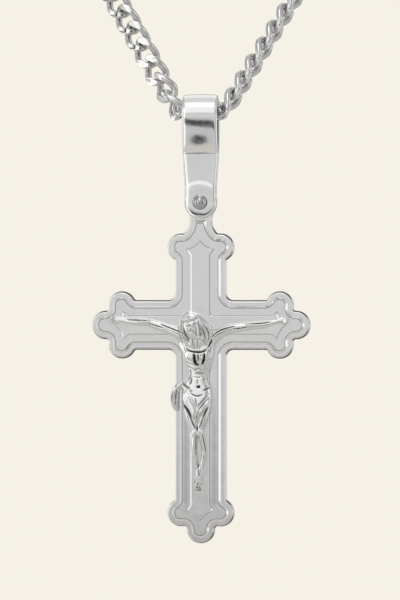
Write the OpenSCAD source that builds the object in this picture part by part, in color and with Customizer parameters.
// Crucifix pendant on a curb chain, hanging as it does from a neck.
// The origin is where the clasp rests on the nape, +Z is up and the cross faces -Y.

/* [Cross] */
// Overall width of the cross, bud tip to bud tip
cross_w = 30; // [24:0.5:45]
// From the crossing down to the lowest tip
cross_down = 29.8; // [24:0.1:45]
// From the crossing up to the line of the upper buds
cross_up = 10.6; // [9:0.1:20]
// Width of the upright
upright_w = 7.1; // [6:0.1:9]
// Width of the cross bar
bar_w = 6.8; // [6:0.1:9]
// Radius of the side buds
bud_r = 1.9; // [1.6:0.05:2.4]
// From an arm's middle line to the middle of a side bud
bud_off = 2.7; // [2.3:0.05:3.4]
// From an arm's tip back to the line of its side buds
bud_back = 4.2; // [3.6:0.1:5]
// Radius of the bud at an arm's tip
tip_r = 1.95; // [1.6:0.05:2.4]
// Half width of the metal between the side buds and the tip bud
web_hw = 1.8; // [1.4:0.05:2]
// Radius in the four inner corners of the crossing
corner_r = 0.9; // [0.4:0.1:1.6]
// Radius in the notches beside the buds
notch_r = 0.35; // [0.2:0.05:0.6]

/* [Relief] */
// Thickness of the flat base
base_t = 1.2; // [0.8:0.1:2]
// Width of the flat rim round the plateau
rim_w = 0.76; // [0.5:0.02:1]
// Width of the slope up to the plateau
slope_w = 0.34; // [0.15:0.01:0.5]
// Height of the plateau over the rim
plateau_t = 0.35; // [0.2:0.05:0.6]
// Height of the inner panel over the plateau
panel_t = 0.3; // [0.15:0.05:0.6]
// Width of the panel's upright
panel_up_w = 2.6; // [2:0.1:3.4]
// Width of the panel's cross bar
panel_bar_w = 2.5; // [2:0.1:3.4]
// Widening of the panel to each side at its ends
panel_flare = 0.55; // [0.2:0.05:0.8]
// Length of the widening
panel_flare_l = 0.8; // [0.4:0.1:1.4]
// Length of the panel's pointed tip
panel_tip = 1.2; // [0.6:0.1:1.6]
// Bevel in the four inner corners of the panel
panel_corner = 0.4; // [0.2:0.05:0.8]

/* [Eye] */
// From the crossing up to the rivet
eye_up = 16.7; // [15.5:0.1:28]
// Radius of the eye that the bail holds
eye_r = 2.2; // [1.8:0.05:2.6]
// Narrowest width of the neck under the eye
neck_w = 3.1; // [2.4:0.1:3.6]
// From the rivet down to the narrowest place
neck_drop = 2.4; // [2.2:0.05:2.8]

/* [Bail] */
// From the chain's middle down to the rivet
bail_l = 12.15; // [10:0.05:18]
// Width of the strap at the top
bail_w = 4.83; // [4:0.01:6]
// Width of the strap at its waist above the round ends
bail_waist_w = 4.25; // [3.6:0.05:4.6]
// Radius inside the bail over the chain
bail_in_r = 1.85; // [1.7:0.05:2.6]
// Wall of the strap
bail_wall = 0.75; // [0.6:0.05:1.2]
// Thickness of each leaf at the rivet
leaf_t = 0.9; // [0.6:0.05:1.2]
// Crown of the round end over the leaf
dome_t = 0.45; // [0.3:0.05:0.6]
// Play between the eye and each leaf
leaf_play = 0.1; // [0.05:0.01:0.2]

/* [Rivet] */
// Diameter of the rivet's shaft
rivet_d = 1.2; // [0.8:0.05:1.6]
// Radius of the rivet's heads
head_r = 1; // [0.8:0.05:1.2]
// Height of the bead on the front head
bead_t = 0.85; // [0.5:0.05:1]
// Height of the plain rear head
back_head_t = 0.5; // [0.3:0.05:0.8]
// Running play of the eye round the shaft
rivet_play = 0.05; // [0.02:0.01:0.1]
// Play of the leaves round the shaft
leaf_fit = 0.01; // [0.01:0.01:0.05]

/* [Figure] */
// Height of the cast figure from crown to soles
figure_h = 24.3; // [20:0.1:26]
// Hand to hand width of the figure
figure_span = 24.4; // [20:0.1:26]
// Height of the figure's crown over the crossing
figure_up = 1.75; // [1:0.05:3]
// Greatest height of the figure over the panel, as cast
figure_t = 2.4; // [1.6:0.1:3.2]
// Width of the foot ledge
ledge_w = 1.4; // [1:0.1:2]
// Height of the foot ledge below the soles
ledge_h = 0.7; // [0.5:0.05:1]
// Diameter of the two posts behind the figure
post_d = 1; // [0.8:0.05:1.2]
// Length of the posts
post_l = 1.1; // [0.6:0.05:1.4]
// Play of the posts in the cross
post_play = 0.04; // [0.02:0.01:0.1]

/* [Chain] */
// Diameter of the chain's body
chain_d = 2.6; // [2:0.1:2.8]
// Length of the clasp's barrel
clasp_l = 8; // [6:0.5:12]
// Diameter of the clasp's barrel
clasp_d = 3.2; // [2.6:0.1:4]
// Wire of the clasp's end rings
clasp_wire = 0.8; // [0.6:0.05:1]

/* [Hidden] */
$fn = 64;
SILVER = [0.86, 0.86, 0.87];
// A cut reaches past what it cuts by this much
over = 0.5;
// A fillet's hollow bites this deep into the walls that it joins
bite = 0.005;

// Where the chain's middle passes through the bail
hang = [0, -105, -158];
// The chain's way down one side, from the nape to the bail: x, y, z
chain_route = [
    [20, -0.5, -1], [39, -10.5, -6], [54, -27, -17], [61.5, -45, -33], [61, -60, -51],
    [55.5, -71.5, -69.5], [46, -79, -86], [31, -88, -111], [19.5, -95, -130],
    [12.5, -99.2, -141.7], [8.8, -101.4, -148], [6.1, -103, -152.7], [4.9, -103.8, -154.7],
    [4.1, -104.3, -156], [3.6, -104.6, -156.95], [2.5, -104.85, -157.6],
    [1.3, -104.95, -157.9]
];
// A ring of the chain's body about every so many diameters, of so many sides
ring_every = 2.8;
chain_sides = 8;
// Across the mean plane of the loop, for turning the rings
loop_normal = [0, 0.82, -0.57];

// Levels of the relief over the middle of the base
rim_z = base_t / 2;
plateau_z = rim_z + plateau_t;
panel_z = plateau_z + panel_t;
top_inset = rim_w + slope_w;

// Lines of the buds on the side and lower arms
side_line = cross_w / 2 - bud_back;
down_line = cross_down - bud_back;
// The neck's concave side meets the eye in one smooth line
neck_hw = neck_w / 2;
neck_r = (pow(neck_hw, 2) + pow(neck_drop, 2) - pow(eye_r, 2)) / (2 * (eye_r - neck_hw));
neck_c = [eye_up - neck_drop, neck_hw + neck_r];
// How much wider the neck starts, before its sides are hollowed
neck_flare = 1.1;
// The plateau stops this far from the rivet, clear of the leaves' round ends
plateau_clear = eye_r + 0.3;
// From the line of the buds back to the corners of the panel's end
panel_back = 0.3;

// Half gap between the leaves, and their outer faces
gap = rim_z + leaf_play;
leaf_out = gap + leaf_t;
bail_out_r = bail_in_r + bail_wall;
// The strap narrows over this much of its length, then the leaves run level
taper_l = 0.72 * bail_l;
straight_l = 0.42 * bail_l;
end_r = eye_r;
seat_z = leaf_out + dome_t / 3;
seat_r = head_r + 0.15;

// Small vector helpers
function unit(v) = v / norm(v);
function side(v) = [-v[1], v[0]];
function bearing(a) = [cos(a), sin(a)];
// Where circles round a and b meet, on the side given by s
function meet(a, ra, b, rb, s) =
    let (d = norm(b - a), u = (b - a) / d)
    let (k = (ra * ra - rb * rb + d * d) / (2 * d))
    a + u * k + side(u) * s * sqrt(ra * ra - k * k);
// Where a line from q touches a circle of radius r round the origin
function touch(q, r) =
    r * bearing(atan2(q[1], q[0]) + acos(r / norm(q)));

// A spherical crown on a round foot
module crown(r, h) {
    ball_r = (r * r + h * h) / (2 * h);
    intersection() {
        translate([0, 0, h - ball_r]) sphere(ball_r);
        cylinder(h = h + over, r = r);
    }
}

// A disc whose edge slopes from inset d1 to inset d2
module bud(p, r, d1, d2, h) {
    translate([p[0], p[1], 0]) cylinder(h = h, r1 = r - d1, r2 = r - d2);
}

// A bar along +X whose sides slope from inset d1 to inset d2
module bar(len, hw, d1, d2, h) {
    rotate([90, 0, 90]) linear_extrude(len)
        polygon([[-hw + d1, 0], [hw - d1, 0], [hw - d2, h], [-hw + d2, h]]);
}

// Metal inside a notch: the shape, less a round hollow that grows with the inset
module notch(c, shape, r, d1, d2, h) {
    difference() {
        linear_extrude(h) polygon(shape);
        translate([c[0], c[1], 0])
            cylinder(h = h, r1 = r + 2 * bite + d1, r2 = r + 2 * bite + d2);
    }
}

// Notch between an arm's straight side and a side bud
module bar_notch(line, hw, d1, d2, h) {
    a = [line, bud_off];
    c = [line - sqrt(pow(bud_r + notch_r, 2) - pow(hw + notch_r - bud_off, 2)), hw + notch_r];
    inside = min(hw - d2, bud_off) - bud_r / 20;
    notch(c, [c, [c[0], inside], [line, inside], a], notch_r, d1, d2, h);
}

// Notch between a side bud and the tip bud
module tip_notch(line, tip, d1, d2, h) {
    a = [line, bud_off];
    b = [tip, 0];
    c = meet(a, bud_r + notch_r, b, tip_r + notch_r, 1);
    notch(c, [c, a, [line, 0], b], notch_r, d1, d2, h);
}

// One arm along +X: straight bar, two side buds and a tip bud
module arm(line, hw, d1, d2, h) {
    tip = line + bud_back - tip_r;
    bar(line + bud_r / 2, hw, d1, d2, h);
    bar(tip, web_hw, d1, d2, h);
    bud([tip, 0], tip_r, d1, d2, h);
    for (s = [0, 1]) mirror([0, s, 0]) {
        bud([line, bud_off], bud_r, d1, d2, h);
        bar_notch(line, hw, d1, d2, h);
        tip_notch(line, tip, d1, d2, h);
    }
}

// The hollow beside the neck, cut a little past both faces on the same slope
module neck_hollow(s, d1, d2, h) {
    past = 0.1;
    more = (d2 - d1) * past / h;
    translate([neck_c[0], s * neck_c[1], -past])
        cylinder(h = h + 2 * past, r1 = neck_r + bite + d1 - more, r2 = neck_r + bite + d2 + more);
}

// The upper arm along +X: two side buds and the concave neck
module neck_arm(d1, d2, h) {
    touch_x = eye_up - eye_r * neck_drop / (neck_r + eye_r);
    a = [cross_up, bud_off];
    c = meet(a, bud_r + notch_r, neck_c, neck_r - notch_r, -1);
    foot = neck_c + unit(c - neck_c) * (neck_r + d2);
    shape = [c, foot, [foot[0], 0], [cross_up, 0], a];
    bar(cross_up + bud_r / 2, upright_w / 2, d1, d2, h);
    difference() {
        bar(touch_x, neck_hw + neck_flare, d1, d2, h);
        for (s = [-1, 1]) neck_hollow(s, d1, d2, h);
    }
    for (s = [0, 1]) mirror([0, s, 0]) {
        bud(a, bud_r, d1, d2, h);
        bar_notch(cross_up, upright_w / 2, d1, d2, h);
        notch(c, shape, notch_r, d1, d2, h);
    }
}

// Rounded inner corner of the crossing, in the quarter x > 0, y > 0
module crossing_corner(d1, d2, h) {
    hx = upright_w / 2;
    hy = bar_w / 2;
    c = [hx + corner_r, hy + corner_r];
    shape = [c, [hx - d2, c[1]], [hx - d2, hy - d2], [c[0], hy - d2]];
    notch(c, shape, corner_r, d1, d2, h);
}

// The whole outline as a layer whose edge slopes from inset d1 to inset d2
module layer(d1, d2, h) {
    for (a = [0, 180]) rotate([0, 0, a]) arm(side_line, bar_w / 2, d1, d2, h);
    rotate([0, 0, -90]) arm(down_line, upright_w / 2, d1, d2, h);
    rotate([0, 0, 90]) neck_arm(d1, d2, h);
    for (sx = [0, 1], sy = [0, 1]) mirror([sx, 0, 0]) mirror([0, sy, 0])
        crossing_corner(d1, d2, h);
}

// One arm of the inner panel along +X, with its flared and pointed end
module panel_arm(line, hw) {
    corner = line - panel_back;
    wide = hw + panel_flare;
    // The tip's sides curve inwards on arcs a little longer than the tip
    tip_arc = 1.3 * norm([panel_tip, wide]);
    difference() {
        polygon([
            [0, -hw], [corner - panel_flare_l, -hw], [corner, -wide], [corner + panel_tip, 0],
            [corner, wide], [corner - panel_flare_l, hw], [0, hw]
        ]);
        for (s = [-1, 1])
            translate(meet([corner, s * wide], tip_arc, [corner + panel_tip, 0], tip_arc, s))
                circle(tip_arc, $fn = 96);
    }
}

module panel() {
    hx = panel_up_w / 2;
    hy = panel_bar_w / 2;
    linear_extrude(panel_t) {
        for (a = [0, 180]) rotate(a) panel_arm(side_line, hy);
        rotate(90) panel_arm(cross_up, hx);
        rotate(-90) panel_arm(down_line, hx);
        polygon([
            [hx + panel_corner, hy], [hx, hy + panel_corner], [-hx, hy + panel_corner],
            [-hx - panel_corner, hy], [-hx - panel_corner, -hy], [-hx, -hy - panel_corner],
            [hx, -hy - panel_corner], [hx + panel_corner, -hy]
        ]);
    }
}

// Stands a piece drawn flat in X and Y upright, its top facing -Y, at the crossing
module at_crossing() {
    translate(hang - [0, 0, bail_l + eye_up]) rotate([90, 0, 0]) children();
}

// The same at the rivet
module at_rivet() {
    translate(hang - [0, 0, bail_l]) rotate([90, 0, 0]) children();
}

// Places of the figure's posts: under the chest and under the shins
function post_places() = [
    [0, figure_up - 0.2 * figure_h, 0],
    [0, figure_up - 0.74 * figure_h, 0]
];

module cross() {
    color(SILVER) at_crossing() difference() {
        union() {
            translate([0, 0, -rim_z]) {
                layer(0, 0, base_t);
                translate([0, eye_up, 0]) cylinder(h = base_t, r = eye_r);
            }
            difference() {
                translate([0, 0, rim_z]) layer(rim_w, top_inset, plateau_t);
                translate([0, eye_up, rim_z])
                    cylinder(h = plateau_t + over, r = plateau_clear);
            }
            translate([0, 0, plateau_z]) panel();
        }
        translate([0, eye_up, -rim_z - over])
            cylinder(h = base_t + 2 * over, d = rivet_d + 2 * rivet_play);
        for (p = post_places()) translate(p + [0, 0, panel_z - post_l - post_play])
            cylinder(h = post_l + over, d = post_d + 2 * post_play);
    }
}

// Side view of the strap, or of its hollow: round over the chain, leaves running level
module bail_side(r, leaf, bottom) {
    q = [leaf, -taper_l];
    t = touch(q, r);
    circle(r);
    polygon([t, q, [leaf, -bottom], [-leaf, -bottom], [-leaf, -taper_l], [-t[0], t[1]]]);
}

// Front view of the strap with its round end
module bail_front() {
    hw = bail_w / 2;
    waist = bail_waist_w / 2;
    top = bail_out_r + over;
    join = sqrt(end_r * end_r - waist * waist);
    waist_z = bail_l - 0.75 * end_r;
    polygon([
        [hw, top], [hw, -straight_l], [waist, -waist_z], [waist, join - bail_l],
        [-waist, join - bail_l], [-waist, -waist_z], [-hw, -straight_l], [-hw, top]
    ]);
    translate([0, -bail_l]) circle(end_r);
}

module bail() {
    reach = bail_out_r + dome_t + over;
    color(SILVER) difference() {
        union() {
            translate(hang) intersection() {
                rotate([90, 0, 0]) translate([0, 0, -reach]) linear_extrude(2 * reach)
                    bail_front();
                translate([-bail_w, 0, 0]) rotate([90, 0, 90]) linear_extrude(2 * bail_w)
                    difference() {
                        bail_side(bail_out_r, leaf_out, bail_l + end_r + over);
                        bail_side(bail_in_r, gap, bail_l + end_r + 2 * over);
                    }
            }
            for (s = [0, 1]) at_rivet() mirror([0, 0, s]) translate([0, 0, leaf_out])
                crown(end_r, dome_t);
        }
        at_rivet() {
            translate([0, 0, -reach])
                cylinder(h = 2 * reach, d = rivet_d + 2 * leaf_fit);
            for (s = [0, 1]) mirror([0, 0, s]) translate([0, 0, seat_z])
                cylinder(h = reach, r = seat_r);
        }
    }
}

module bail_rivet() {
    color(SILVER) at_rivet() {
        translate([0, 0, -seat_z]) cylinder(h = 2 * seat_z, d = rivet_d);
        translate([0, 0, seat_z]) crown(head_r, bead_t);
        mirror([0, 0, 1]) translate([0, 0, seat_z]) crown(head_r, back_head_t);
    }
}

// Columns of the figure's tables. Places and half widths are shares of the figure's
// height, or across of its half span for the arms. Lift and deep are shares of its depth.
ACROSS = 0;
DOWN = 1;
LIFT = 2;
WIDE = 3;
DEEP = 4;
limb_sides = 12;
// Rounding of a limb's ends: how far past the end row, and how wide, in half widths
end_caps = [[0.55, 0.84], [0.9, 0.45]];

torso = [
    // across, down, lift, wide, deep
    [-0.020, 0.140, 0.20, 0.090, 0.24],
    [-0.012, 0.175, 0.26, 0.084, 0.34],
    [-0.006, 0.225, 0.30, 0.069, 0.40],
    [-0.006, 0.290, 0.27, 0.060, 0.37],
    [-0.012, 0.350, 0.24, 0.050, 0.31],
    [-0.014, 0.400, 0.25, 0.068, 0.35],
    [-0.012, 0.450, 0.26, 0.080, 0.37],
    [-0.011, 0.490, 0.24, 0.060, 0.33]
];
head = [
    [-0.048, 0.030, 0.58, 0.036, 0.26],
    [-0.043, 0.060, 0.60, 0.050, 0.36],
    [-0.036, 0.100, 0.60, 0.052, 0.40],
    [-0.030, 0.135, 0.57, 0.042, 0.36],
    [-0.024, 0.165, 0.54, 0.034, 0.30],
    [-0.018, 0.195, 0.50, 0.018, 0.20]
];
nose = [
    [-0.037, 0.096, 0.92, 0.008, 0.07],
    [-0.033, 0.122, 0.98, 0.011, 0.09]
];
neck = [
    [-0.030, 0.110, 0.40, 0.034, 0.26],
    [-0.016, 0.190, 0.34, 0.036, 0.28]
];
hair_left = [
    [-0.030, 0.028, 0.52, 0.030, 0.26],
    [-0.076, 0.052, 0.48, 0.032, 0.28],
    [-0.094, 0.100, 0.38, 0.026, 0.26],
    [-0.084, 0.150, 0.32, 0.022, 0.22],
    [-0.074, 0.182, 0.30, 0.016, 0.16]
];
hair_right = [
    [-0.050, 0.026, 0.50, 0.030, 0.24],
    [0.000, 0.042, 0.47, 0.032, 0.28],
    [0.030, 0.092, 0.37, 0.030, 0.26],
    [0.042, 0.136, 0.30, 0.024, 0.22],
    [0.048, 0.166, 0.26, 0.016, 0.16]
];
crown_band = [
    [-0.084, 0.066, 0.60, 0.012, 0.10],
    [-0.060, 0.048, 0.82, 0.012, 0.10],
    [-0.024, 0.046, 0.84, 0.012, 0.10],
    [0.004, 0.062, 0.62, 0.012, 0.10]
];
thigh_left = [
    [-0.056, 0.440, 0.26, 0.040, 0.34],
    [-0.048, 0.520, 0.36, 0.040, 0.36],
    [-0.036, 0.600, 0.48, 0.034, 0.32],
    [-0.024, 0.668, 0.56, 0.029, 0.29]
];
thigh_right = [
    [0.034, 0.440, 0.26, 0.040, 0.34],
    [0.027, 0.520, 0.36, 0.040, 0.36],
    [0.018, 0.600, 0.48, 0.034, 0.32],
    [0.008, 0.660, 0.58, 0.029, 0.29]
];
shin_left = [
    [-0.023, 0.655, 0.54, 0.026, 0.27],
    [-0.026, 0.720, 0.40, 0.026, 0.27],
    [-0.023, 0.780, 0.28, 0.023, 0.24],
    [-0.010, 0.850, 0.19, 0.015, 0.18],
    [-0.010, 0.895, 0.18, 0.018, 0.18],
    [-0.015, 0.972, 0.12, 0.020, 0.14]
];
shin_right = [
    [0.007, 0.648, 0.56, 0.026, 0.27],
    [0.009, 0.720, 0.44, 0.026, 0.26],
    [0.009, 0.780, 0.36, 0.023, 0.23],
    [0.004, 0.845, 0.32, 0.015, 0.18],
    [0.003, 0.885, 0.34, 0.018, 0.17],
    [0.005, 0.960, 0.27, 0.020, 0.14]
];
// Rows for the arms: across is a share of the half span
arm_left = [
    [-0.120, 0.140, 0.26, 0.034, 0.28],
    [-0.230, 0.110, 0.28, 0.031, 0.27],
    [-0.385, 0.084, 0.29, 0.024, 0.23],
    [-0.590, 0.050, 0.27, 0.021, 0.21],
    [-0.770, 0.052, 0.21, 0.018, 0.18],
    [-0.890, 0.040, 0.15, 0.015, 0.13],
    [-0.970, 0.043, 0.13, 0.020, 0.12]
];
arm_right = [
    [0.040, 0.145, 0.26, 0.034, 0.28],
    [0.150, 0.118, 0.28, 0.031, 0.27],
    [0.320, 0.090, 0.29, 0.024, 0.23],
    [0.480, 0.080, 0.27, 0.021, 0.21],
    [0.660, 0.070, 0.21, 0.018, 0.18],
    [0.830, 0.058, 0.15, 0.015, 0.13],
    [0.935, 0.043, 0.13, 0.020, 0.12]
];
cloth_belt = [
    [-0.110, 0.392, 0.28, 0.024, 0.24],
    [-0.066, 0.416, 0.42, 0.026, 0.26],
    [-0.014, 0.430, 0.50, 0.028, 0.22],
    [0.036, 0.418, 0.42, 0.026, 0.24],
    [0.064, 0.400, 0.30, 0.022, 0.22]
];
cloth_flap = [
    [-0.014, 0.420, 0.36, 0.084, 0.30],
    [-0.014, 0.480, 0.38, 0.070, 0.34],
    [-0.012, 0.540, 0.46, 0.044, 0.30],
    [-0.010, 0.595, 0.54, 0.020, 0.24]
];
cloth_folds = [
    [[-0.086, 0.426, 0.44, 0.010, 0.14], [-0.020, 0.492, 0.66, 0.010, 0.12]],
    [[0.054, 0.432, 0.44, 0.010, 0.14], [-0.006, 0.516, 0.68, 0.010, 0.12]],
    [[-0.062, 0.468, 0.50, 0.009, 0.13], [-0.018, 0.552, 0.68, 0.009, 0.12]]
];
cloth_tail = [
    [-0.108, 0.384, 0.24, 0.024, 0.22],
    [-0.130, 0.420, 0.18, 0.025, 0.20],
    [-0.143, 0.460, 0.14, 0.024, 0.18],
    [-0.136, 0.520, 0.12, 0.020, 0.14]
];
// The ledge reaches up this far behind the feet, and out by this share of the depth
ledge_lap = 0.4;
ledge_out = 0.35;

// Where a table's row lies over the panel
function row_place(row, across) =
    [row[ACROSS] * across, figure_up - row[DOWN] * figure_h, row[LIFT] * figure_t];
// A limb's way at row i, flat over the panel
function row_way(places, i) = let (
    a = places[max(i - 1, 0)], b = places[min(i + 1, len(places) - 1)]
) unit([b[0] - a[0], b[1] - a[1]]);
// An oval section: place, way, half width, half depth
function oval(p, way, w, d) = [for (k = [0 : limb_sides - 1])
    let (c = w * cos(360 * k / limb_sides))
    p + [-way[1] * c, way[0] * c, d * sin(360 * k / limb_sides)]];

// A limb or a fold: one skin through its rows, with rounded ends
module limb(rows, across = figure_h) {
    places = [for (row = rows) row_place(row, across)];
    n = len(rows);
    ends = len(end_caps);
    // Each section: row, way past the row in half widths, and how wide
    steps = concat(
        [for (k = [ends - 1 : -1 : 0]) [0, -end_caps[k][0], end_caps[k][1]]],
        [for (i = [0 : n - 1]) [i, 0, 1]],
        [for (k = [0 : ends - 1]) [n - 1, end_caps[k][0], end_caps[k][1]]]
    );
    points = [for (s = steps)
        let (row = rows[s[0]], way = row_way(places, s[0]), w = row[WIDE] * figure_h)
        each oval(places[s[0]] + s[1] * w * [way[0], way[1], 0], way, w * s[2],
            row[DEEP] * figure_t * s[2])];
    walls = [for (i = [0 : len(steps) - 2], k = [0 : limb_sides - 1])
        let (a = i * limb_sides + k, b = i * limb_sides + (k + 1) % limb_sides)
        [a, a + limb_sides, b + limb_sides, b]];
    first = [for (k = [0 : limb_sides - 1]) k];
    last = [for (k = [limb_sides - 1 : -1 : 0]) (len(steps) - 1) * limb_sides + k];
    polyhedron(points, concat([first, last], walls), convexity = 4);
}

module corpus() {
    color(SILVER) at_crossing() translate([0, 0, panel_z]) {
        intersection() {
            union() {
                for (rows = [
                    torso, neck, head, nose, hair_left, hair_right, crown_band, thigh_left,
                    thigh_right, shin_left, shin_right, cloth_belt, cloth_flap, cloth_tail
                ]) limb(rows);
                for (rows = [arm_left, arm_right]) limb(rows, figure_span / 2);
                for (rows = cloth_folds) limb(rows);
                translate([-ledge_w / 2, figure_up - figure_h - ledge_h, 0])
                    cube([ledge_w, ledge_h + ledge_lap, ledge_out * figure_t]);
            }
            translate([-figure_span, -2 * figure_h, 0])
                cube([2 * figure_span, 4 * figure_h, 2 * figure_t]);
        }
        for (p = post_places()) translate(p - [0, 0, post_l])
            cylinder(h = post_l + over, d = post_d);
    }
}

// The chain's body: a smooth way through the route's points, then rings swept along it
nape_y = clasp_d / 2;
ring_r = clasp_d / 2 - clasp_wire / 2;
ring_x = clasp_l / 2 + ring_r - clasp_wire / 2;
clasp_reach = ring_x + ring_r + clasp_wire / 2;
way_down = concat([[clasp_reach, nape_y, 0]], chain_route);
whole_way = concat(
    [for (p = way_down) [-p[0], p[1], p[2]]], [hang],
    [for (i = [len(way_down) - 1 : -1 : 0]) way_down[i]]
);
function way_at(i) = whole_way[max(0, min(len(whole_way) - 1, i))];
function smooth(a, b, c, d, t) =
    0.5 * (2 * b + (c - a) * t + (2 * a - 5 * b + 4 * c - d) * t * t
        + (3 * b - a - 3 * c + d) * t * t * t);
function way_steps(i) = max(1, round(norm(way_at(i + 1) - way_at(i)) / (ring_every * chain_d)));
chain_line = concat(
    [for (i = [0 : len(whole_way) - 2], k = [0 : way_steps(i) - 1])
        smooth(way_at(i - 1), way_at(i), way_at(i + 1), way_at(i + 2), k / way_steps(i))],
    [way_at(len(whole_way) - 1)]
);
function line_dir(i) = unit(
    chain_line[min(i + 1, len(chain_line) - 1)] - chain_line[max(i - 1, 0)]
);
function ring(i) =
    let (t = line_dir(i), u = unit(cross(loop_normal, t)), v = cross(t, u))
    [for (k = [0 : chain_sides - 1])
        chain_line[i] + chain_d / 2 * (u * cos(360 * k / chain_sides)
            + v * sin(360 * k / chain_sides))];

module chain() {
    n = len(chain_line);
    points = [for (i = [0 : n - 1]) each ring(i)];
    walls = [for (i = [0 : n - 2], k = [0 : chain_sides - 1])
        let (a = i * chain_sides + k, b = i * chain_sides + (k + 1) % chain_sides)
        [a, a + chain_sides, b + chain_sides, b]];
    first = [for (k = [0 : chain_sides - 1]) k];
    last = [for (k = [chain_sides - 1 : -1 : 0]) (n - 1) * chain_sides + k];
    color(SILVER) polyhedron(points, concat([first, last], walls), convexity = 8);
}

module clasp() {
    color(SILVER) translate([0, nape_y, 0]) {
        rotate([0, 90, 0]) cylinder(h = clasp_l, d = clasp_d, center = true);
        for (s = [-1, 1]) translate([s * ring_x, 0, 0]) rotate([90, 0, 0])
            rotate_extrude() translate([ring_r, 0]) circle(d = clasp_wire, $fn = 32);
    }
}

chain();
clasp();
bail();
bail_rivet();
cross();
corpus();
